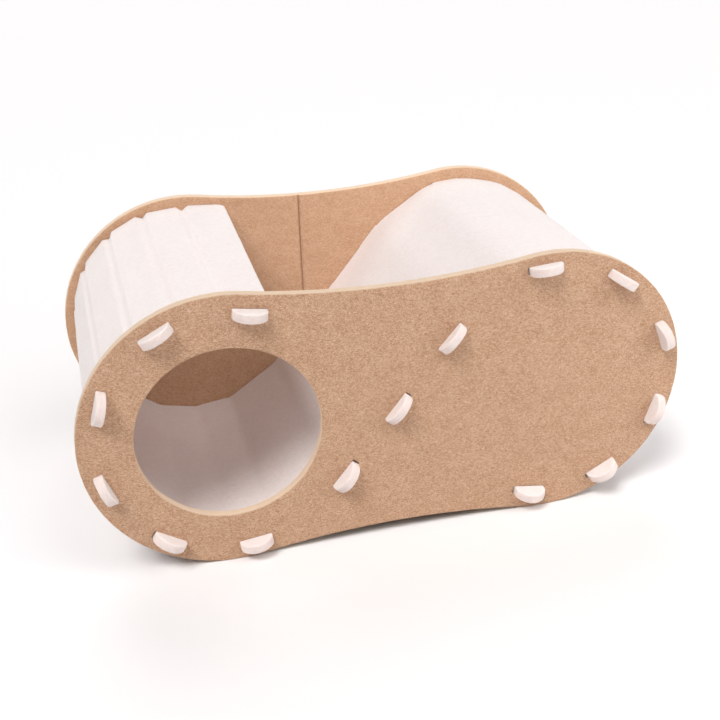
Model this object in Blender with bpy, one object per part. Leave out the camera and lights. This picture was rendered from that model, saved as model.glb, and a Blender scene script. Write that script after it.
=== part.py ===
# A felt cat tunnel in three pieces: two thick felt side panels in the outline of a
# figure eight, and one wide felt strip that runs between them in an S. The strip
# has half-moon tabs along both long edges, and they push through straight slots in
# the panels. Nothing is sewn or glued.
#
# Metres, +Z up. The panels stand across Y, and the front one, with the round hole,
# is at -Y. The origin is on the floor, under the middle of the tunnel.

import math
from collections import namedtuple

import bmesh
import bpy
import numpy as np

# Side panels
LOBE_RADIUS = 0.150
LOBE_X = 0.171  # each lobe's centre, from the middle
WAIST_RADIUS = 0.960  # the shallow hollow curves above and below the waist
FOOT_WIDTH = 0.024  # the felt is pressed flat where a lobe stands on the floor
FELT_THICKNESS = 0.010
HOLE_RADIUS = 0.094

# The fold across each panel's inner face, half cut so that the panel packs flat
FOLD_X = 0.027
FOLD_WIDTH = 0.003
FOLD_DEPTH = 0.004
FOLD_OVERRUN = 0.010  # the cutter runs past the panel's top and bottom

# The strip, as it is bent: a straight slope in the middle, and flat facets round each
# lobe. A crease is placed on the middle of the felt, from the lobe's centre. The left
# lobe's angles are those of the same bend turned half a turn about the middle.
INNER_DEPTH = 0.305  # between the panels' inner faces
SLOPE_ANGLE = math.radians(50.5)
SLOPE_HALF_LENGTH = 0.112
SLOPE_SHIFT = (0.0041, 0.0005)  # the slope's middle, from the panel's
FACETS = 11
Bends = namedtuple("Bends", "crease_radius first_crease facet_angle")
LEFT_BENDS = Bends(0.1345, math.radians(107.7), math.radians(20.05))
RIGHT_BENDS = Bends(0.1362, math.radians(104.0), math.radians(19.25))
LAST_CREASE_RADIUS = 0.1310  # the last facet springs outwards at its free end
FREE_END_RADIUS = 0.1345

# The strip's V-grooves, cut in one face so that it bends in flat facets
GROOVE_WIDTH = 0.010  # before bending
GROOVE_DEPTH = 0.006
BEND_RADIUS = 0.045  # of the face with no groove
BEND_STEPS = 3

# Tabs and slots
TAB_WIDTH = 0.035
TAB_REACH = 0.0165  # past the panel's outer face, at the tab's middle
TAB_SHOULDER = 0.004  # past it at the tab's ends
TAB_THICKNESS = 0.0096
SLOPE_TAB_PITCH = 0.0915
SLOT_SPARE_END = 0.002  # the slot is longer than the tab, mostly at one end
SLOT_SPARE_START = 0.0005

# Linear colours
CAMEL = (0.58, 0.37, 0.22)
WHITE = (0.90, 0.86, 0.84)
FELT_ROUGHNESS = 0.95

GAP = 0.0003  # between felt and felt
WELD = 0.00001
LOBE_ARC_STEP = math.radians(4)
WAIST_ARC_STEP = math.radians(2)
HOLE_STEPS = 72
TAB_ARC_STEPS = 12

# Lobe centres lie this high, so that the pressed feet end exactly at the floor
LOBE_Z = math.sqrt(LOBE_RADIUS**2 - (FOOT_WIDTH / 2) ** 2)
MIDDLE = np.array([0.0, LOBE_Z])


def clear_scene():
    for obj in list(bpy.data.objects):
        bpy.data.objects.remove(obj, do_unlink=True)


def new_collection(name):
    collection = bpy.data.collections.new(name)
    bpy.context.scene.collection.children.link(collection)
    return collection


def felt_material(name, colour):
    material = bpy.data.materials.new(name)
    material.use_nodes = True
    shader = material.node_tree.nodes["Principled BSDF"]
    shader.inputs["Base Color"].default_value = (*colour, 1.0)
    shader.inputs["Roughness"].default_value = FELT_ROUGHNESS
    shader.inputs["Metallic"].default_value = 0.0
    return material


def arc(centre, radius, start, end, step):
    """Points from angle start to angle end, both ends in."""
    count = max(2, math.ceil(abs(end - start) / step) + 1)
    angles = np.linspace(start, end, count)
    return centre + radius * np.c_[np.cos(angles), np.sin(angles)]


def turned_half_round(points):
    """The points turned by half a turn about the panel's middle."""
    return 2 * MIDDLE - points


def panel_outline():
    """The figure eight: two lobes, two hollow waist curves that touch them, and two pressed feet."""
    waist_height = math.sqrt((LOBE_RADIUS + WAIST_RADIUS) ** 2 - LOBE_X**2)
    to_waist = math.atan2(waist_height, -LOBE_X)
    foot_angle = math.asin(FOOT_WIDTH / 2 / LOBE_RADIUS)
    right = np.array([LOBE_X, LOBE_Z])
    below = arc(right, LOBE_RADIUS, -to_waist, -math.pi / 2 - foot_angle, LOBE_ARC_STEP)
    outside = arc(right, LOBE_RADIUS, -math.pi / 2 + foot_angle, to_waist, LOBE_ARC_STEP)
    lean = math.atan2(LOBE_X, waist_height)
    above = MIDDLE + (0.0, waist_height)
    waist = arc(above, WAIST_RADIUS, -math.pi / 2 + lean, -math.pi / 2 - lean, WAIST_ARC_STEP)
    left = np.array([-LOBE_X, LOBE_Z])
    left_outside = arc(left, LOBE_RADIUS, math.pi - to_waist, 1.5 * math.pi - foot_angle, LOBE_ARC_STEP)
    left_below = arc(left, LOBE_RADIUS, 1.5 * math.pi + foot_angle, math.pi + to_waist, LOBE_ARC_STEP)
    lower_waist = turned_half_round(waist)
    return np.concatenate([below, outside, waist[1:-1], left_outside, left_below, lower_waist[1:-1]])


def slope_point(along):
    """A point on the slope's middle line, so far from the slope's middle."""
    way = np.array([math.cos(SLOPE_ANGLE), math.sin(SLOPE_ANGLE)])
    return MIDDLE + SLOPE_SHIFT + along * way


def lobe_creases(bends):
    """The creases round the right lobe, and the free end."""
    angles = bends.first_crease - bends.facet_angle * np.arange(FACETS + 1)
    radii = np.full(FACETS + 1, bends.crease_radius)
    radii[-2:] = LAST_CREASE_RADIUS, FREE_END_RADIUS
    return np.array([LOBE_X, LOBE_Z]) + radii[:, None] * np.c_[np.cos(angles), np.sin(angles)]


def crease_points():
    """The strip's middle line as a polygon, from the free end on the left lobe to the one on the right."""
    left = turned_half_round(lobe_creases(LEFT_BENDS))[::-1]
    slope = [slope_point(-SLOPE_HALF_LENGTH), slope_point(SLOPE_HALF_LENGTH)]
    return np.vstack([left, slope, lobe_creases(RIGHT_BENDS)])


def unit(vectors):
    return vectors / np.linalg.norm(vectors, axis=-1, keepdims=True)


def strip_section():
    """The strip's section: half its thickness to each side of the middle line, with a groove at each crease."""
    creases = crease_points()
    half = FELT_THICKNESS / 2
    along = unit(np.diff(creases, axis=0))
    aside = np.c_[along[:, 1], -along[:, 0]]  # towards the grooved face
    grooved = [creases[0] + half * aside[0]]
    plain = [creases[0] - half * aside[0]]
    for i in range(1, len(creases) - 1):
        before, after = along[i - 1], along[i]
        mitre = unit(aside[i - 1] + aside[i])
        grooved.append(creases[i] - GROOVE_WIDTH / 2 * before + half * aside[i - 1])
        grooved.append(creases[i] + (half - GROOVE_DEPTH) * mitre)
        grooved.append(creases[i] + GROOVE_WIDTH / 2 * after + half * aside[i])
        half_turn = math.acos(np.dot(before, after)) / 2
        run = BEND_RADIUS * math.tan(half_turn)
        start = creases[i] - run * before - half * aside[i - 1]
        end = creases[i] + run * after - half * aside[i]
        corner = creases[i] - half / math.cos(half_turn) * mitre
        for step in range(BEND_STEPS + 1):
            t = step / BEND_STEPS
            plain.append((1 - t) ** 2 * start + 2 * t * (1 - t) * corner + t**2 * end)
    grooved.append(creases[-1] + half * aside[-1])
    plain.append(creases[-1] - half * aside[-1])
    return np.array(grooved + plain[::-1])


def tab_places():
    """(centre, slope) of each tab: three on the slope, and every second facet of both lobes."""
    creases = crease_points()
    places = [(slope_point(number * SLOPE_TAB_PITCH), SLOPE_ANGLE) for number in (-1, 0, 1)]
    lobe_facets = [*range(0, FACETS, 2), *range(len(creases) - FACETS - 1, len(creases) - 1, 2)]
    for facet in lobe_facets:
        run = creases[facet + 1] - creases[facet]
        centre = (creases[facet] + creases[facet + 1]) / 2
        places.append((centre, math.atan2(run[1], run[0])))
    return places


def slot_outline(centre, slope):
    """A rectangle around the tab's section, with its spare length mostly towards the strip's right-hand end."""
    start = -TAB_WIDTH / 2 - SLOT_SPARE_START
    end = TAB_WIDTH / 2 + SLOT_SPARE_END
    half = TAB_THICKNESS / 2 + GAP
    corners = np.array([[start, -half], [end, -half], [end, half], [start, half]])
    turn = np.array([[math.cos(slope), math.sin(slope)], [-math.sin(slope), math.cos(slope)]])
    return centre + corners @ turn


def tab_outline():
    """A plate across the strip whose two ends are half-moon tabs: each is an arc over the tab's width."""
    rise = TAB_REACH - TAB_SHOULDER
    radius = ((TAB_WIDTH / 2) ** 2 + rise**2) / (2 * rise)
    reach = math.asin(TAB_WIDTH / 2 / radius)
    outer_face = INNER_DEPTH / 2 + FELT_THICKNESS
    centre = np.array([0.0, outer_face + TAB_REACH - radius])
    moon = arc(centre, radius, math.pi / 2 - reach, math.pi / 2 + reach, 2 * reach / TAB_ARC_STEPS)
    return np.concatenate([moon, -moon])


def flat_solid(name, outlines, thickness):
    """A mesh object from a filled outline, drawn as a flat curve of half the thickness each way."""
    curve = bpy.data.curves.new(name, "CURVE")
    curve.dimensions = "2D"
    curve.fill_mode = "BOTH"
    curve.extrude = thickness / 2
    for outline in outlines:
        spline = curve.splines.new("POLY")
        spline.points.add(len(outline) - 1)
        flat = np.c_[outline, np.zeros(len(outline)), np.ones(len(outline))]
        spline.points.foreach_set("co", flat.ravel())
        spline.use_cyclic_u = True
    drawn = bpy.data.objects.new(name + "_drawn", curve)
    bpy.context.scene.collection.objects.link(drawn)
    graph = bpy.context.evaluated_depsgraph_get()
    mesh = bpy.data.meshes.new_from_object(drawn.evaluated_get(graph))
    bpy.data.objects.remove(drawn)
    welded = bmesh.new()
    welded.from_mesh(mesh)
    bmesh.ops.remove_doubles(welded, verts=welded.verts, dist=WELD)
    welded.to_mesh(mesh)
    welded.free()
    return bpy.data.objects.new(name, mesh)


def stand_up(obj):
    """The outline's second axis points up, and its thickness lies along Y."""
    obj.rotation_euler = (math.pi / 2, 0.0, 0.0)


def as_helper(obj, collection):
    collection.objects.link(obj)
    obj.hide_render = True
    obj.display_type = "WIRE"


def add_boolean(obj, operation, operand):
    modifier = obj.modifiers.new(operation.title(), "BOOLEAN")
    modifier.operation = operation
    modifier.solver = "EXACT"
    if isinstance(operand, bpy.types.Collection):
        modifier.operand_type = "COLLECTION"
        modifier.collection = operand
    else:
        modifier.object = operand


def fold_cutter(name, x, y, side):
    """A three-sided bar from top to bottom, with one edge in the inner face's felt, towards side along Y."""
    above = FOLD_WIDTH / 2 * (1 + GAP / FOLD_DEPTH)  # the sides run on a little past the face
    outline = np.array([[-above, -GAP], [above, -GAP], [0.0, FOLD_DEPTH]])
    if side < 0:
        outline = outline[::-1] * (1, -1)
    cutter = flat_solid(name, [outline], 2 * (LOBE_RADIUS + FOLD_OVERRUN))
    cutter.location = (x, y, LOBE_Z)
    return cutter


def make_panel(name, y_middle, outlines, fold_x, collection, cutters, material):
    """One side panel, folded across its inner face at fold_x."""
    panel = flat_solid(name, outlines, FELT_THICKNESS)
    collection.objects.link(panel)
    stand_up(panel)
    panel.location.y = y_middle
    outward = math.copysign(1.0, y_middle)
    cutter = fold_cutter(name + "_fold", fold_x, outward * INNER_DEPTH / 2, outward)
    as_helper(cutter, cutters)
    add_boolean(panel, "DIFFERENCE", cutter)
    panel.data.materials.append(material)


def make_strip(collection, helpers, material):
    """The strip, with a plate across it at each pair of tabs."""
    strip = flat_solid("strip", [strip_section()], INNER_DEPTH - 2 * GAP)
    collection.objects.link(strip)
    stand_up(strip)
    for number, (centre, slope) in enumerate(tab_places()):
        plate = flat_solid(f"tab_pair_{number}", [tab_outline()], TAB_THICKNESS)
        plate.location = (centre[0], 0.0, centre[1])
        plate.rotation_euler = (0.0, -slope, 0.0)
        as_helper(plate, helpers)
    add_boolean(strip, "UNION", helpers)
    strip.data.materials.append(material)


def main():
    clear_scene()
    parts = new_collection("felt_cat_tunnel")
    cutters = new_collection("cutters")
    tab_plates = new_collection("tab_plates")
    camel = felt_material("camel_felt", CAMEL)
    white = felt_material("white_felt", WHITE)

    slots = [slot_outline(centre, slope) for centre, slope in tab_places()]
    left_lobe = np.array([-LOBE_X, LOBE_Z])
    hole = arc(left_lobe, HOLE_RADIUS, 0.0, 2 * math.pi, 2 * math.pi / HOLE_STEPS)[:-1]
    panel_y = (INNER_DEPTH + FELT_THICKNESS) / 2
    front = [panel_outline(), hole, *slots]
    back = [panel_outline(), *slots]
    make_panel("front_panel", -panel_y, front, FOLD_X, parts, cutters, camel)
    make_panel("back_panel", panel_y, back, -FOLD_X, parts, cutters, camel)
    make_strip(parts, tab_plates, white)


main()
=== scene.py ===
import math

import bpy
import numpy as np
from mathutils import Matrix, Vector


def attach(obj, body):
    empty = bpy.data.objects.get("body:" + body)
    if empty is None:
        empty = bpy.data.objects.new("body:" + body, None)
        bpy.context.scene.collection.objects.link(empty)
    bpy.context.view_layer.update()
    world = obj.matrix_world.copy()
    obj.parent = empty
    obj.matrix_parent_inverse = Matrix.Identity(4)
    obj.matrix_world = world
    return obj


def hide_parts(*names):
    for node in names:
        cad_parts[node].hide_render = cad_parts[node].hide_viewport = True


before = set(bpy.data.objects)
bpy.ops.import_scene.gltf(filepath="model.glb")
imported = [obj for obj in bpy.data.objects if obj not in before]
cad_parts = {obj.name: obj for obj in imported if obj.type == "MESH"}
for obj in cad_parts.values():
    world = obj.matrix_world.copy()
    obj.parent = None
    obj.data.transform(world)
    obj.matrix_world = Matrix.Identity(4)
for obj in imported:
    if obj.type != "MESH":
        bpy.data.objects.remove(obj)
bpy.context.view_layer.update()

# A cat tunnel of thick felt: two camel side panels in the outline of a figure eight, and
# one off-white strip bent into an S between them, held by half-moon tabs in straight slots.
# Metres. The front panel, with the round hole, is at -Y, and the floor is at 0.

# How a piece of the felt is cut, and how its faces and edges are worn
felt = {
    "thickness": 0.010,
    "edgeRound": 0.0012,  # the cut edge is soft, so it is a little round
    "edgeSteps": 3,  # faces round each side of the cut edge
    "sideSteps": 3,  # faces across the flat of the cut edge
    "edgeRoughness": 0.00022,  # cut fibres draw the edge in by up to twice this
    "edgeLump": 0.0022,  # in lumps of this size
    "edgeSeed": 7,
    "waveSize": 0.120,  # long waves of the whole sheet
    "waveHeight": 0.00045,
    "lumpSize": 0.022,  # thick and thin places
    "lumpHeight": 0.00016,
}

# The side panels, whose lobes the strip's bends are worked out from as well
panel = {
    "lobeRadius": 0.150,
    "lobeX": 0.171,  # each lobe's centre, from the middle
    "waistRadius": 0.960,  # the shallow hollow curves above and below the waist
    "footWidth": 0.024,  # pressed flat on the floor
    "holeRadius": 0.094,
    "foldX": 0.027,  # the half-cut fold: here on the front panel, mirrored on the back one
    "foldWidth": 0.0028,
    "foldDepth": 0.0030,
    "foldSteps": 4,
    "cell": 0.0032,  # size of the mesh's squares
    "overrun": 0.001,  # the squares run this far past the top, where the outline cuts them
}

# The lobes' centres are as high as puts the pressed feet on the floor. The waist curves'
# centres lie above and below the middle, as high as makes them meet the lobes smoothly.
lobeZ = math.sqrt(panel["lobeRadius"] ** 2 - (panel["footWidth"] / 2) ** 2)
middle = np.array([0.0, lobeZ])
waistHeight = math.sqrt((panel["lobeRadius"] + panel["waistRadius"]) ** 2 - panel["lobeX"] ** 2)
half = felt["thickness"] / 2


def unit(vectors):
    # each vector over its own length, and a zero one stays zero
    return vectors / np.maximum(np.linalg.norm(vectors, axis=-1, keepdims=True), 1e-12)


def smooth(share):
    # 0 below 0, 1 above 1, and 3t^2 - 2t^3 between
    share = np.clip(share, 0.0, 1.0)
    return share * share * (3 - 2 * share)


def lumps(places, size, seed):
    # smooth noise from -1 to 1: random numbers on a lattice of that size, blended by smooth()
    count = 32
    table = np.random.default_rng(seed).uniform(-1, 1, (count,) * places.shape[1])
    corner = np.floor(places / size).astype(int)
    share = smooth(places / size - corner)
    total = 0.0
    for step in np.ndindex((2,) * places.shape[1]):
        weight = np.prod(np.where(step, share, 1 - share), axis=1)
        total = total + weight * table[tuple(((corner + step) % count).T)]
    return total


def filledIn(keys, longest):
    # the keys in order, with as many even steps between each two as keep a step under
    # longest; a key that follows another more closely than 0.4 mm is left out
    closest = 0.0004
    keys = np.unique(np.round(keys, 6))
    keys = keys[np.r_[True, np.diff(keys) > closest]]
    counts = np.ceil(np.diff(keys) / longest).astype(int)
    runs = [np.linspace(a, b, n, endpoint=False) for a, b, n in zip(keys[:-1], keys[1:], counts)]
    return np.concatenate([*runs, keys[-1:]])


def steepest(distance, flat):
    # the way in which the distance grows fastest, from differences over 0.02 mm
    step = 1e-5
    across = distance(flat + (step, 0)) - distance(flat - (step, 0))
    up = distance(flat + (0, step)) - distance(flat - (0, step))
    return unit(np.c_[across, up])


def cutFlat(columns, rows, distance):
    # The flat felt where distance(point) < 0, in squares on the columns and rows. Where a
    # side of a square crosses the cut, its nearer end moves onto the cut, so that every
    # square is whole, a triangle, or nothing. The cut is drawn in by edgeRound for the flat
    # face; the edge is swept out from there.
    def depth(points):
        return distance(points) + felt["edgeRound"]

    def ontoCut(points, rounds):
        # each round moves the points the steepest way by the distance that is left
        for _ in range(rounds):
            points = points - depth(points)[:, None] * steepest(distance, points)
        return points

    grid = np.stack(np.meshgrid(columns, rows, indexing="ij"), -1)
    size = grid.shape[:2]
    flat = grid.reshape(-1, 2)
    found = depth(flat).reshape(size)
    onCut = np.zeros(size, bool)
    for low, high in ((np.s_[:-1, :], np.s_[1:, :]), (np.s_[:, :-1], np.s_[:, 1:])):
        crosses = (found[low] < 0) != (found[high] < 0)
        lowNearer = np.abs(found[low]) <= np.abs(found[high])
        onCut[low] |= crosses & lowNearer
        onCut[high] |= crosses & ~lowNearer
    outside = ((found >= 0) & ~onCut).ravel()
    number = np.arange(len(flat)).reshape(size)
    corners = (number[:-1, :-1], number[1:, :-1], number[1:, 1:], number[:-1, 1:])
    squares = np.stack(corners, -1).reshape(-1, 4)
    lost = outside[squares]
    moved = onCut.ravel()
    flat[moved] = ontoCut(flat[moved], rounds=4)
    quads = squares[~lost.any(1)]
    thirds = []
    for k in range(4):
        one = squares[lost[:, k] & (lost.sum(1) == 1)]
        thirds.append(one[:, [(k + 1) % 4, (k + 2) % 4, (k + 3) % 4]])
    triangles = np.concatenate(thirds)
    quads = quads[depth(flat[quads].mean(1)) < 0]
    triangles = triangles[depth(flat[triangles].mean(1)) < 0]

    used, back = np.unique(np.r_[quads.ravel(), triangles.ravel()], return_inverse=True)
    quads, triangles = back[: quads.size].reshape(-1, 4), back[quads.size :].reshape(-1, 3)
    flat = flat[used]
    starts = np.r_[quads.ravel(), triangles.ravel()]
    ends = np.r_[np.roll(quads, -1, 1).ravel(), np.roll(triangles, -1, 1).ravel()]
    single = ~np.isin(starts * len(flat) + ends, ends * len(flat) + starts)
    rim, back = np.unique(np.r_[starts[single], ends[single]], return_inverse=True)
    flat[rim] = ontoCut(flat[rim], rounds=3)
    return {
        "flat": flat,
        "quads": quads,
        "triangles": triangles,
        "rim": rim,
        "rimEdges": back.reshape(2, -1).T,
        "outward": steepest(distance, flat[rim]),
    }


def outwardMesh(name, points, quads, triangles):
    # a mesh whose faces point out: the volume that they enclose is then positive
    fans = np.concatenate([quads[:, [0, 1, 2]], quads[:, [0, 2, 3]], triangles])
    corner = points[fans]
    volume = np.einsum("ij,ij->i", corner[:, 0], np.cross(corner[:, 1], corner[:, 2])).sum()
    if volume < 0:
        quads, triangles = quads[:, ::-1], triangles[:, ::-1]
    mesh = bpy.data.meshes.new(name)
    mesh.from_pydata(points, [], quads.tolist() + triangles.tolist())
    mesh.shade_smooth()
    print(f"{name}: {len(points)} points, {2 * len(quads) + len(triangles)} triangles")
    return mesh


def feltPiece(name, cut, place):
    # Two faces and a cut edge between them. place(flat, level) puts a point of the flat felt
    # in space, with level from +half on one face to -half on the other. The edge is carried
    # round the cut: a quarter circle out, a side, and a quarter circle back.
    flat, rim, rimEdges = cut["flat"], cut["rim"], cut["rimEdges"]
    rounding = felt["edgeRound"]
    bend = np.linspace(0, math.pi / 2, felt["edgeSteps"] + 1)
    side = np.linspace(half - rounding, rounding - half, felt["sideSteps"] + 1)[1:-1]
    turnLevel = half - rounding * (1 - np.cos(bend))
    level = np.r_[turnLevel, side, -turnLevel[::-1]]
    reach = rounding * np.r_[np.sin(bend), np.ones(len(side)), np.sin(bend[::-1])]
    cutShare = (reach / rounding) ** 2  # 0 on a face and 1 on the side

    layers = [place(flat, np.full(len(flat), half)), place(flat, np.full(len(flat), -half))]
    flats = [flat, flat]
    for k in range(1, len(level) - 1):
        here = np.full(len(rim), level[k])
        rough = lumps(np.c_[flat[rim], here], felt["edgeLump"], felt["edgeSeed"])
        out = reach[k] + felt["edgeRoughness"] * cutShare[k] * (rough - 1)
        flats.append(flat[rim] + cut["outward"] * out[:, None])
        layers.append(place(flats[-1], here))

    inner = [2 * len(flat) + k * len(rim) + np.arange(len(rim)) for k in range(len(level) - 2)]
    rows = [rim, *inner, rim + len(flat)]
    a, b = rimEdges.T
    band = [np.c_[near[b], near[a], far[a], far[b]] for near, far in zip(rows[:-1], rows[1:])]
    quads = np.concatenate([cut["quads"], cut["quads"][:, ::-1] + len(flat), *band])
    triangles = np.concatenate([cut["triangles"], cut["triangles"][:, ::-1] + len(flat)])
    mesh = outwardMesh(name, np.concatenate(layers), quads, triangles)

    # the materials read how much of the cut edge a point is on, where they paint the paler cut
    # tones (on the camel felt partly a painted highlight), and how deep in the felt it lies; the
    # UV map is the flat felt
    onEdge = np.r_[np.zeros(2 * len(flat)), np.repeat(cutShare[1:-1], len(rim))]
    through = np.r_[np.repeat([half, -half], len(flat)), np.repeat(level[1:-1], len(rim))]
    for label, values in (("cutEdge", onEdge), ("level", through)):
        mesh.attributes.new(label, "FLOAT", "POINT").data.foreach_set("value", values)
    loops = np.empty(len(mesh.loops), np.int64)
    mesh.loops.foreach_get("vertex_index", loops)
    uvs = np.concatenate(flats)[loops]
    mesh.uv_layers.new(name="flatFelt").data.foreach_set("uv", uvs.ravel())
    piece = bpy.data.objects.new(name, mesh)
    bpy.context.scene.collection.objects.link(piece)
    return piece


def feltWave(flat, level, seed):
    # how far a place strays from flat: long waves of the whole sheet, and thick and thin
    # places, where each face moves by itself, in proportion to its level
    sheet = felt["waveHeight"] * lumps(flat, felt["waveSize"], seed)
    upper, lower = (lumps(flat, felt["lumpSize"], seed + k) for k in (1, 2))
    return sheet + felt["lumpHeight"] * np.where(level > 0, upper, lower) * level / half


print("strip")

# The strip as it is bent: a straight slope, and flat facets round each lobe. A crease is a
# point on the middle of the felt. The left lobe's angles are turned half a turn.
strip = {
    "innerDepth": 0.305,  # between the panels
    "gap": 0.0003,  # to each panel
    "slopeAngle": math.radians(50.5),
    "slopeHalfLength": 0.112,
    "slopeShift": (0.0041, 0.0005),
    "facets": 11,  # round each lobe
    "left": {"radius": 0.1345, "first": math.radians(107.7), "turn": math.radians(20.05)},
    "right": {"radius": 0.1362, "first": math.radians(104.0), "turn": math.radians(19.25)},
    "lastCreaseRadius": 0.1310,
    "freeEndRadius": 0.1345,
    "bendReach": 0.006,  # the felt turns over this length to each side of a crease
    "innerBendReach": 0.016,  # from the slope's upper end on, where the grooves are inside
    "grooveWidth": 0.013,
    "grooveDepth": 0.0020,  # closed up again by the soft felt
    "notchDepth": 0.0058,  # but open at the back edge, over this length
    "notchLength": 0.016,
    "grooveSteps": 4,
    "alongCell": 0.0040,
    "acrossCell": 0.0060,
    "seed": 11,
    # how far a crease strays at the back edge, in mm: outward from its lobe, and onward
    "strays": {
        0: (7.0, 2.5), 1: (3.5, 4.5), 2: (3.5, 4.0), 3: (4.5, 2.0), 4: (4.5, 0.0), 5: (2.0, 0.0),
        14: (-4.0, 0.0), 15: (-3.8, 0.0), 16: (-2.2, 0.0), 17: (-0.5, 0.0),
    },
}

# The tabs, from the left free end on: six round the left lobe, three on the slope, six on the
# right lobe. A slot is longer than its tab by the spare lengths, before and after it.
tab = {
    "width": 0.035,
    "reach": 0.0165,  # past the panel's outer face, at the tab's middle
    "shoulder": 0.0055,  # past it at the tab's ends
    "thickness": 0.0096,
    "slopePitch": 0.0915,
    "cell": 0.0026,
    "blend": 0.0020,  # the strip's thickness turns into the tab's over this length
    "press": 0.0007,  # the panel's felt is squeezed by this much on each side of a tab
    "spareBefore": (0.3, 0.1, 0.1, 0.1, 1.8, 0.1, 0.1, 0.1, 0.1, 1.7, 0.3, 0.1, 0.1, 0.1, 0.1),  # mm
    "spareAfter": (0.1, 0.1, 0.1, 0.3, 0.1, 0.1, 2.2, 1.4, 0.1, 0.1, 0.1, 0.3, 2.8, 2.4, 2.1),  # mm
    "loose": {0: 0.5, 14: 0.8},  # mm by which a slot is also higher, above its tab
    "settle": 0.030,  # by the front edge the felt turns to meet its slots over this length
    "lean": 0.0020,  # past the panel a tab leans over within about this length
    # how the tabs at the front edge sit: turned in their slots, in degrees, and moved along the
    # felt's normal, in mm; and how far past the panel each one is bent to a side, in degrees
    "turn": (0, 0, -7, -3.5, 0, 0, 0, 0, 2.5, 0, -1, -3, -2, 2.5, 5),
    "move": (0, 0, 0, 0, 0, 0, -0.5, -0.3, -0.5, 0, 0, 0, 0, 0.8, 2.3),
    "bend": (0, 5, -5, 0, 0, 0, 3, -8, -14, -9, 0, -5, 0, -7, -13),
}

panelY = (strip["innerDepth"] + felt["thickness"]) / 2  # the middle of the back panel's felt


def lobeCreases(lobe):
    # points on a circle round the lobe's centre, one facet's turn apart; the last two, by
    # the free end, have radii of their own
    angles = lobe["first"] - lobe["turn"] * np.arange(strip["facets"] + 1)
    radii = np.full(strip["facets"] + 1, lobe["radius"])
    radii[-2:] = strip["lastCreaseRadius"], strip["freeEndRadius"]
    centre = np.array([panel["lobeX"], lobeZ])
    return centre + radii[:, None] * np.c_[np.cos(angles), np.sin(angles)]


slopeWay = np.array([math.cos(strip["slopeAngle"]), math.sin(strip["slopeAngle"])])
slopeMiddle = middle + strip["slopeShift"]
slopeReach = strip["slopeHalfLength"] * slopeWay
leftCreases = (2 * middle - lobeCreases(strip["left"]))[::-1]
slopeEnds = [slopeMiddle - slopeReach, slopeMiddle + slopeReach]
creases = np.vstack([leftCreases, slopeEnds, lobeCreases(strip["right"])])
facetWay = unit(np.diff(creases, axis=0))
facetLength = np.linalg.norm(np.diff(creases, axis=0), axis=1)
creaseAt = np.r_[0.0, np.cumsum(facetLength)]
stripLength = creaseAt[-1]
stripHalfWidth = strip["innerDepth"] / 2 - strip["gap"]
strays = np.zeros_like(creases)
for crease, (outward, onward) in strip["strays"].items():
    lobeCentre = (math.copysign(panel["lobeX"], creases[crease, 0]), lobeZ)
    outwardWay = unit(creases[crease] - lobeCentre)
    strays[crease] = (outward * outwardWay + onward * facetWay[crease]) / 1000


def tabMiddles():
    # how far along the strip each tab's middle is
    leftFacets = np.arange(0, strip["facets"], 2)
    rightFacets = np.arange(len(facetLength) - strip["facets"], len(facetLength), 2)
    slopeStart = creaseAt[strip["facets"] + 1]
    onSlope = slopeStart + strip["slopeHalfLength"] + tab["slopePitch"] * np.array([-1, 0, 1])
    middles = (creaseAt[:-1] + creaseAt[1:]) / 2
    return np.r_[middles[leftFacets], onSlope, middles[rightFacets]]


tabAt = tabMiddles()


def nearestCrease(along):
    # the crease that is nearest along the strip, its two ends left out, and how far past it
    between = (creaseAt[1:-2] + creaseAt[2:-1]) / 2
    crease = 1 + np.searchsorted(between, along)
    return crease, along - creaseAt[crease]


def tabShift(along, across):
    # How far the felt moves along its normal by its nearest tab, and how far along Y: by the
    # front edge it turns to meet the slot, and past the panel the tab is bent to one side.
    nearest = np.abs(along[:, None] - tabAt).argmin(1)
    past = along - tabAt[nearest]
    nearTab = 1 - smooth(2 * np.abs(past) / tab["width"] - 1)
    nearEdge = smooth((tab["settle"] - stripHalfWidth - across) / tab["settle"])
    turned = np.tan(np.radians(tab["turn"]))[nearest] * past
    shift = (turned + np.array(tab["move"])[nearest] / 1000) * nearTab * nearEdge
    beyond = np.maximum(np.abs(across) - panelY - half, 0)
    bend = np.radians(tab["bend"])[nearest]
    shift = shift + np.sin(bend) * beyond**2 / (beyond + tab["lean"])
    return shift, -np.sign(across) * beyond * (1 - np.cos(bend))


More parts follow.
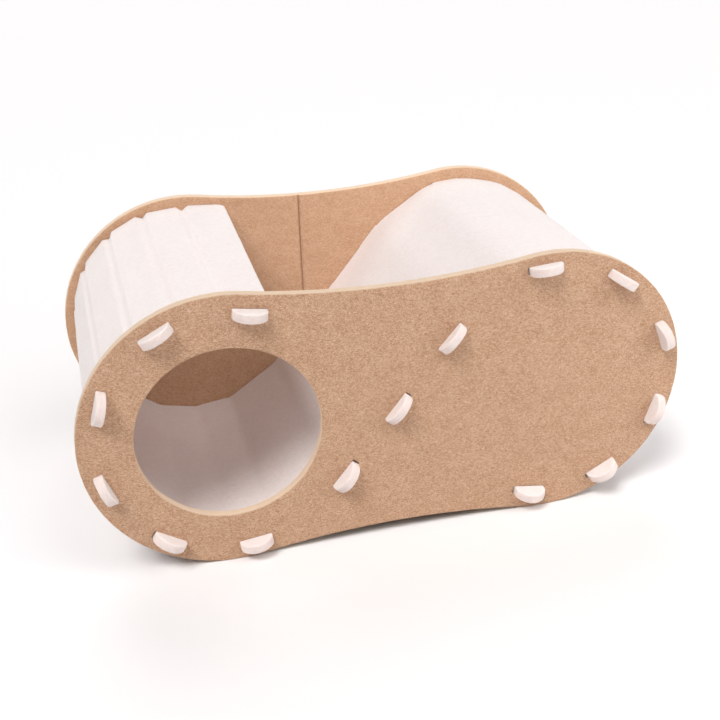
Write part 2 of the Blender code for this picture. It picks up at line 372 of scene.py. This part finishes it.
def placeStrip(flat, level):
    # A flat point (along, across) on the bent felt: the middle line follows the creases,
    # each rounded by a parabola from bendReach before it to bendReach after it, and the
    # level is laid off along the normal, less a V at each crease on the grooved face.
    along, across = flat.T
    crease, past = nearestCrease(along)
    toBack = smooth((across + stripHalfWidth) / (2 * stripHalfWidth))[:, None]
    was, here, then = (creases[crease + k] + toBack * strays[crease + k] for k in (-1, 0, 1))
    before = (here - was) / facetLength[crease - 1, None]
    after = (then - here) / facetLength[crease, None]
    inTab = smooth((np.abs(across) - stripHalfWidth) / tab["blend"])
    isWide = (crease > strip["facets"] + 1) * (1 - inTab)
    b = (strip["bendReach"] + isWide * (strip["innerBendReach"] - strip["bendReach"]))[:, None]
    past = past[:, None]
    t = np.clip((past / b + 1) / 2, 0, 1)
    line = here + b * (t**2 * after - (1 - t) ** 2 * before)
    line = line + np.minimum(past + b, 0) * before + np.maximum(past - b, 0) * after
    way = unit((1 - t) * before + t * after)
    normal = np.c_[way[:, 1], -way[:, 0]]
    valley = np.clip(1 - np.abs(past[:, 0]) / (strip["grooveWidth"] / 2), 0, 1)
    atBack = smooth((across - stripHalfWidth + strip["notchLength"]) / strip["notchLength"])
    deep = strip["grooveDepth"] + atBack * (strip["notchDepth"] - strip["grooveDepth"])
    valley = deep * (atBack * valley + (1 - atBack) * smooth(valley))
    scale = 1 + inTab * (tab["thickness"] / felt["thickness"] - 1)
    lift = level * scale - valley * np.clip(level / half, 0, 1)
    lift = lift + (1 - inTab) * feltWave(flat, level, strip["seed"])
    sideways, inward = tabShift(along, across)
    line = line + (lift + sideways)[:, None] * normal
    return np.c_[line[:, 0], across + inward, line[:, 1]]


def stripDistance(flat):
    # the strip's rectangle joined with its tabs, each a bar with an arc at both ends
    along, across = flat[:, 0], np.abs(flat[:, 1])
    depth = np.maximum(np.abs(along - stripLength / 2) - stripLength / 2, across - stripHalfWidth)
    rise = tab["reach"] - tab["shoulder"]
    radius = ((tab["width"] / 2) ** 2 + rise**2) / (2 * rise)
    arcCentre = panelY + half + tab["reach"] - radius
    beyond = np.maximum(across - arcCentre, 0)
    for at in tabAt:
        toArc = np.hypot(along - at, beyond) - radius
        depth = np.minimum(depth, np.maximum(np.abs(along - at) - tab["width"] / 2, toArc))
    return depth


def stripColumns():
    # along the strip: close together over each groove, and on the sides of each tab
    grooveHalf = strip["grooveWidth"] / 2
    near = np.linspace(-grooveHalf, grooveHalf, 2 * strip["grooveSteps"] + 1)
    near = np.r_[-strip["bendReach"], near, strip["bendReach"]]
    tabSide = tab["width"] / 2 - felt["edgeRound"]
    keys = [(creaseAt[1:-1, None] + near).ravel(), tabAt - tabSide, tabAt + tabSide]
    keys += [[felt["edgeRound"], stripLength - felt["edgeRound"]]]
    return filledIn(np.concatenate(keys), strip["alongCell"])


def stripRows():
    # across the strip, with closer rows where the tabs are
    edge = stripHalfWidth - felt["edgeRound"]
    tabs = filledIn([edge, panelY + half + tab["reach"]], tab["cell"])
    return np.r_[-tabs[::-1], filledIn([-edge, edge], strip["acrossCell"])[1:-1], tabs]


stripPiece = feltPiece("bent_strip", cutFlat(stripColumns(), stripRows(), stripDistance), placeStrip)


print("panels")


def slotsAt(y):
    # each slot is a rectangle round the tab that passes through the panel at y
    spare = np.array([tab["spareBefore"], tab["spareAfter"]]) / 1000
    starts = tabAt - tab["width"] / 2 - spare[0]
    ends = tabAt + tab["width"] / 2 + spare[1]
    level = np.zeros(len(tabAt))
    across = np.full(len(tabAt), y)
    low = placeStrip(np.c_[tabAt - tab["width"] / 2, across], level)[:, [0, 2]]
    high = placeStrip(np.c_[tabAt + tab["width"] / 2, across], level)[:, [0, 2]]
    way = unit(high - low)
    loose = np.array([tab["loose"].get(k, 0.0) for k in range(len(tabAt))]) / 1000
    centre = (low + high) / 2 + way * ((starts + ends) / 2 - tabAt)[:, None]
    centre += np.c_[way[:, 1], -way[:, 0]] * loose[:, None] / 2
    halfSize = np.c_[(ends - starts) / 2, (tab["thickness"] + loose) / 2] - tab["press"]
    return list(zip(centre, way, halfSize))


def panelDistance(flat, holed, slots):
    # by the nearer of a waist curve and a lobe, whichever side of the line through their
    # centres the point is on; then less what is under the floor, the hole and the slots
    x, z = np.abs(flat[:, 0]), np.abs(flat[:, 1] - lobeZ)
    toWaist = panel["waistRadius"] - np.hypot(x, z - waistHeight)
    toLobe = np.hypot(x - panel["lobeX"], z) - panel["lobeRadius"]
    byWaist = x * waistHeight + z * panel["lobeX"] < panel["lobeX"] * waistHeight
    depth = np.maximum(np.where(byWaist, toWaist, toLobe), -flat[:, 1])
    if holed:
        toMiddle = np.hypot(flat[:, 0] + panel["lobeX"], flat[:, 1] - lobeZ)
        depth = np.maximum(depth, panel["holeRadius"] - toMiddle)
    for centre, way, halfSize in slots:
        offset = flat - centre
        past = np.abs(np.c_[offset @ way, offset @ (-way[1], way[0])]) - halfSize
        toSlot = np.hypot(*np.maximum(past, 0).T) + np.minimum(past.max(1), 0)
        depth = np.maximum(depth, -toSlot)
    return depth


def makePanel(name, outward, holed, seed):
    # outward is -1 for the front panel and 1 for the back one
    foldX = -outward * panel["foldX"]
    slots = slotsAt(outward * panelY)

    def distance(flat):
        return panelDistance(flat, holed, slots)

    def place(flat, level):
        # x and z as cut, and y from the level, less the V of the fold on the inner face
        valley = smooth(1 - np.abs(flat[:, 0] - foldX) / (panel["foldWidth"] / 2))
        inner = np.clip(-level / half, 0, 1)
        lift = level + panel["foldDepth"] * valley * inner
        lift = lift + feltWave(flat, level, seed)
        return np.c_[flat[:, 0], outward * (panelY + lift), flat[:, 1]]

    nearFold = foldX + panel["foldWidth"] / 2 * np.linspace(-1, 1, panel["foldSteps"] + 1)
    reachX = panel["lobeX"] + panel["lobeRadius"]
    columns = filledIn(np.r_[-reachX, nearFold, reachX], panel["cell"])
    rows = filledIn([felt["edgeRound"], 2 * lobeZ], panel["cell"])
    rows = np.r_[0.0, rows, 2 * lobeZ + panel["overrun"]]
    return feltPiece(name, cutFlat(columns, rows, distance), place)


frontPiece = makePanel("front_felt_panel", outward=-1, holed=True, seed=21)
backPiece = makePanel("back_felt_panel", outward=1, holed=False, seed=31)


print("materials")


def colour(code):
    # an sRGB hex colour as linear light, by the sRGB curve
    srgb = np.array([int(code[k : k + 2], 16) for k in (1, 3, 5)]) / 255
    linear = np.where(srgb <= 0.04045, srgb / 12.92, ((srgb + 0.055) / 1.055) ** 2.4)
    return (*linear.tolist(), 1.0)


def addNode(tree, kind, inputs=(), **settings):
    # one node with its settings; an input is a value or another node's output
    node = tree.nodes.new("ShaderNode" + kind)
    for key, value in settings.items():
        setattr(node, key, value)
    for key, value in dict(inputs).items():
        if isinstance(value, bpy.types.NodeSocket):
            tree.links.new(value, node.inputs[key])
        else:
            node.inputs[key].default_value = value
    return node


# Needle-punched polyester felt: barbed needles mat the fibres into a board that is matt and
# softly mottled, with fibre flecks a little lighter and darker than the ground, a faint
# bloom where it is seen edge on, and a paler edge where the board is cut; on the camel felt
# that edge is paler still, as a painted highlight of the light that falls on the rims.
camelFelt = {
    "name": "needle_punched_camel_felt",
    "dark": "#b07f60",
    "ground": "#cfa584",
    "light": "#e9c6ab",
    # the cut edge's tones, paler than the faces: partly the cut fibres' own colour, partly a painted
    # highlight of the light that falls on the rims
    "cutDark": "#e4c4a4",
    "cut": "#f4dec6",
    "sheen": "#f3dcc8",
    "patchSize": 0.014,  # faint unevenness of the dye
    "patchShare": 0.30,
    "mottleSize": 0.0020,  # tangles of fibre
    "mottleShare": 0.4,
    "fleckSize": 0.0010,  # single fibres are finer still, and show as flecks
    "fleckShare": 3.1,
    "lay": 0.55,  # fibres lie along the board, so flecks are longer than high
    "bumpHeight": 0.0012,
    "scatter": 0.0,
}
# the back panel's grain is about two thirds as strong in the photograph as the front panel's
smoothCamelFelt = {
    **camelFelt,
    "name": "needle_punched_camel_felt_smoother",
    "mottleShare": 0.25,
    "fleckShare": 1.7,
    "bumpHeight": 0.0007,
}
whiteFelt = {
    "name": "needle_punched_white_felt",
    "dark": "#e2d5d1",
    "ground": "#ede2df",
    "light": "#f5edeb",
    "cutDark": "#e0cdc6",
    "cut": "#f5ebe7",
    "sheen": "#ffffff",
    "patchSize": 0.060,
    "patchShare": 0.25,
    "mottleSize": 0.0038,
    "mottleShare": 0.9,
    "fleckSize": 0.0018,
    "fleckShare": 0.5,
    "lay": 0.8,
    "bumpHeight": 0.00045,
    "scatter": 0.6,  # light passes a few millimetres into pale felt and softens its creases
}

# What both felts share
fibre = {
    "layerLength": 0.00625,  # a cut edge shows thin layers of fibre this long
    "layerSqueeze": 6.0,  # that lie about this many times closer across it
    "fuzzPerMetre": 1100.0,  # loose single fibres, 0.9 mm apart, which show in the bump alone
    "fuzzShare": 0.5,
    "bumpStrength": 0.8,
    "roughness": 0.95,
    "ior": 1.5,
    "specular": 0.2,  # the fibres' gloss is lost among them
    "sheen": 0.25,  # the faint bloom of fibre ends
    "sheenRoughness": 0.5,
    "scatterRadius": (1.0, 0.85, 0.8),
    "scatterScale": 0.004,
}


def grain(tree, look, place):
    # The colour of the faces and the height of their grain. The tone is 0.5 plus each noise
    # less its average of 0.5, times its share.
    lay = {0: place, 1: (look["lay"], 1, 1)}
    laid = addNode(tree, "VectorMath", lay, operation="MULTIPLY").outputs[0]
    noises = {
        "patch": {"Vector": place, "Detail": 3.0},
        "mottle": {"Vector": laid, "Detail": 3.0, "Roughness": 0.6, "Distortion": 0.8},
        "fleck": {"Vector": laid, "Detail": 2.0, "Roughness": 0.6, "Distortion": 1.5},
    }
    tone = 0.5 - 0.5 * sum(look[name + "Share"] for name in noises)
    found = {}
    for name, inputs in noises.items():
        inputs["Scale"] = 1 / look[name + "Size"]
        found[name] = addNode(tree, "TexNoise", inputs).outputs["Fac"]
        added = {0: found[name], 1: look[name + "Share"], 2: tone}
        tone = addNode(tree, "Math", added, operation="MULTIPLY_ADD").outputs[0]
    ramp = addNode(tree, "ValToRGB", {"Fac": tone})
    stops = ramp.color_ramp.elements
    stops[0].color = colour(look["dark"])
    stops[1].color = colour(look["light"])
    stops.new(0.5).color = colour(look["ground"])
    heights = {0: found["mottle"], 1: found["fleck"]}
    height = addNode(tree, "Math", heights, operation="ADD").outputs[0]
    return ramp.outputs["Color"], height


def cutLayers(tree, look, place):
    # the colour of a cut edge: a noise stretched along it and close across it, between the
    # look's two cut tones; on the camel felt both are paler than the faces, partly as cut fibres
    # are and partly as a painted highlight of the light on the rims
    level = addNode(tree, "Attribute", attribute_name="level").outputs["Fac"]
    deep = addNode(tree, "CombineXYZ", {"Y": level}).outputs[0]
    squeeze = {0: deep, "Scale": fibre["layerSqueeze"]}
    squeezed = addNode(tree, "VectorMath", squeeze, operation="SCALE").outputs[0]
    edgePlace = addNode(tree, "VectorMath", {0: place, 1: squeezed}, operation="ADD").outputs[0]
    stretched = {"Vector": edgePlace, "Scale": 1 / fibre["layerLength"], "Detail": 4.0}
    layers = addNode(tree, "TexNoise", stretched).outputs["Fac"]
    tones = {"Factor": layers, "A": colour(look["cutDark"]), "B": colour(look["cut"])}
    return addNode(tree, "Mix", tones, data_type="RGBA").outputs["Result"]


def feltMaterial(look):
    # grain on the faces, layers on the cut edge, and a bump from the grain and the fuzz; on the
    # camel felt the cut edge's paler layers are partly a painted highlight
    material = bpy.data.materials.new(look["name"])
    material.use_nodes = True
    tree = material.node_tree
    tree.nodes.clear()
    place = addNode(tree, "TexCoord").outputs["Object"]
    faceTone, grainHeight = grain(tree, look, place)
    onEdge = addNode(tree, "Attribute", attribute_name="cutEdge").outputs["Fac"]
    # the cut edge takes the cut tones, which on the camel felt are partly a painted highlight of the
    # light on the rims
    tones = {"Factor": onEdge, "A": faceTone, "B": cutLayers(tree, look, place)}
    finalTone = addNode(tree, "Mix", tones, data_type="RGBA").outputs["Result"]

    fine = {
        "Vector": place, "Scale": fibre["fuzzPerMetre"],
        "Detail": 2.0, "Roughness": 0.7, "Distortion": 1.0,
    }
    fuzz = addNode(tree, "TexNoise", fine).outputs["Fac"]
    heights = {0: fuzz, 1: fibre["fuzzShare"], 2: grainHeight}
    height = addNode(tree, "Math", heights, operation="MULTIPLY_ADD").outputs[0]
    bump = addNode(tree, "Bump", {
        "Height": height, "Distance": look["bumpHeight"], "Strength": fibre["bumpStrength"],
    })
    shader = addNode(tree, "BsdfPrincipled", {
        "Base Color": finalTone,
        "Roughness": fibre["roughness"],
        "IOR": fibre["ior"],
        "Specular IOR Level": fibre["specular"],
        "Subsurface Weight": look["scatter"],
        "Subsurface Radius": fibre["scatterRadius"],
        "Subsurface Scale": fibre["scatterScale"],
        "Sheen Weight": fibre["sheen"],
        "Sheen Roughness": fibre["sheenRoughness"],
        "Sheen Tint": colour(look["sheen"]),
        "Normal": bump.outputs["Normal"],
    })
    addNode(tree, "OutputMaterial", {"Surface": shader.outputs["BSDF"]})
    return material


camel, smoothCamel, white = (feltMaterial(look) for look in (camelFelt, smoothCamelFelt, whiteFelt))
for piece, material, node, slotName in (
    (stripPiece, white, "strip", "strip_felt"),
    (frontPiece, camel, "front_panel", "panel_felt"),
    (backPiece, smoothCamel, "back_panel", "panel_felt"),
):
    piece.data.materials.append(material)
    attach(piece, "root")
    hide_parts(node)


print("floor, lights and camera")

studio = {
    "floorColour": "#f1efef",
    "floorSize": 40.0,
    "worldColour": "#ffffff",
    "worldStrength": 0.04,
    "aim": (0, 0, 0.15),  # the middle of the object
    # wide softboxes, so far away that they light the floor evenly: width in degrees
    "softboxes": {
        "left_softbox": {"place": (-4.8, -4.8, 10.0), "width": 26, "strength": 2.46},
        "right_softbox": {"place": (6.0, -5.0, 10.0), "width": 40, "strength": 0.84},
        "back_softbox": {"place": (0.0, 8.0, 10.0), "width": 40, "strength": 0.98},
    },
    "fillLamp": {"place": (1.20, -0.75, 0.65), "size": 0.6, "power": 5.0},
    # above the way in, and for the back panel alone: its inner face is as bright in the
    # photograph as the front panel is
    "reflector": {
        "place": (0.06, -0.12, 0.38), "aim": (0.06, panelY, 0.24), "size": 0.2, "power": 0.25,
    },
}

reach = studio["floorSize"] / 2
corners = [(-reach, -reach, 0), (reach, -reach, 0), (reach, reach, 0), (-reach, reach, 0)]
floorMesh = bpy.data.meshes.new("floor")
floorMesh.from_pydata(corners, [], [(0, 1, 2, 3)])
floor = bpy.data.objects.new("floor", floorMesh)
bpy.context.scene.collection.objects.link(floor)
floorPaint = bpy.data.materials.new("matt_paper_backdrop")
floorPaint.use_nodes = True
paint = floorPaint.node_tree.nodes["Principled BSDF"]
paint.inputs["Base Color"].default_value = colour(studio["floorColour"])
paint.inputs["Roughness"].default_value = 1.0
paint.inputs["Specular IOR Level"].default_value = 0.0
floorMesh.materials.append(floorPaint)

world = bpy.data.worlds.new("studio")
world.use_nodes = True
background = world.node_tree.nodes["Background"]
background.inputs["Color"].default_value = colour(studio["worldColour"])
background.inputs["Strength"].default_value = studio["worldStrength"]
bpy.context.scene.world = world


def addLight(name, kind, where, energy, aim):
    # a light at one place, turned to face another
    lamp = bpy.data.lights.new(name, kind)
    lamp.energy = energy
    holder = bpy.data.objects.new(name, lamp)
    holder.location = where
    holder.rotation_euler = (Vector(aim) - Vector(where)).to_track_quat("-Z", "Y").to_euler()
    bpy.context.scene.collection.objects.link(holder)
    return holder


for name, box in studio["softboxes"].items():
    softbox = addLight(name, "SUN", box["place"], box["strength"], studio["aim"])
    softbox.data.angle = math.radians(box["width"])
fill = studio["fillLamp"]
fillLamp = addLight("fill_lamp", "AREA", fill["place"], fill["power"], studio["aim"])
fillLamp.data.size = fill["size"]
card = studio["reflector"]
reflector = addLight("reflector", "AREA", card["place"], card["power"], card["aim"])
reflector.data.size = card["size"]
reflected = bpy.data.collections.new("reflected")
reflected.objects.link(backPiece)
reflector.light_linking.receiver_collection = reflected

# The photograph's view, solved from the object's outline, hole and tabs in it
view = {
    "azimuth": math.radians(-14.055),
    "elevation": math.radians(26.11),
    "roll": math.radians(-1.885),
    "place": (-0.27836, -1.13386, 0.70215),
    "lens": 55.98,
    "sensor": 36.0,
}
turn, rise = view["azimuth"], view["elevation"]
back = Vector((math.sin(turn) * math.cos(rise), -math.cos(turn) * math.cos(rise), math.sin(rise)))
right = Vector((0, 0, 1)).cross(back).normalized()
up = back.cross(right)
rolledRight = math.cos(view["roll"]) * right + math.sin(view["roll"]) * up
rolledUp = math.cos(view["roll"]) * up - math.sin(view["roll"]) * right
axes = Matrix((rolledRight, rolledUp, back)).transposed()
lens = bpy.data.cameras.new("camera")
lens.lens, lens.sensor_width = view["lens"], view["sensor"]
camera = bpy.data.objects.new("camera", lens)
camera.matrix_world = Matrix.Translation(view["place"]) @ axes.to_4x4()
bpy.context.scene.collection.objects.link(camera)
bpy.context.scene.camera = camera
bpy.context.scene.view_settings.view_transform = "Standard"

bpy.context.view_layer.update()
print("done")
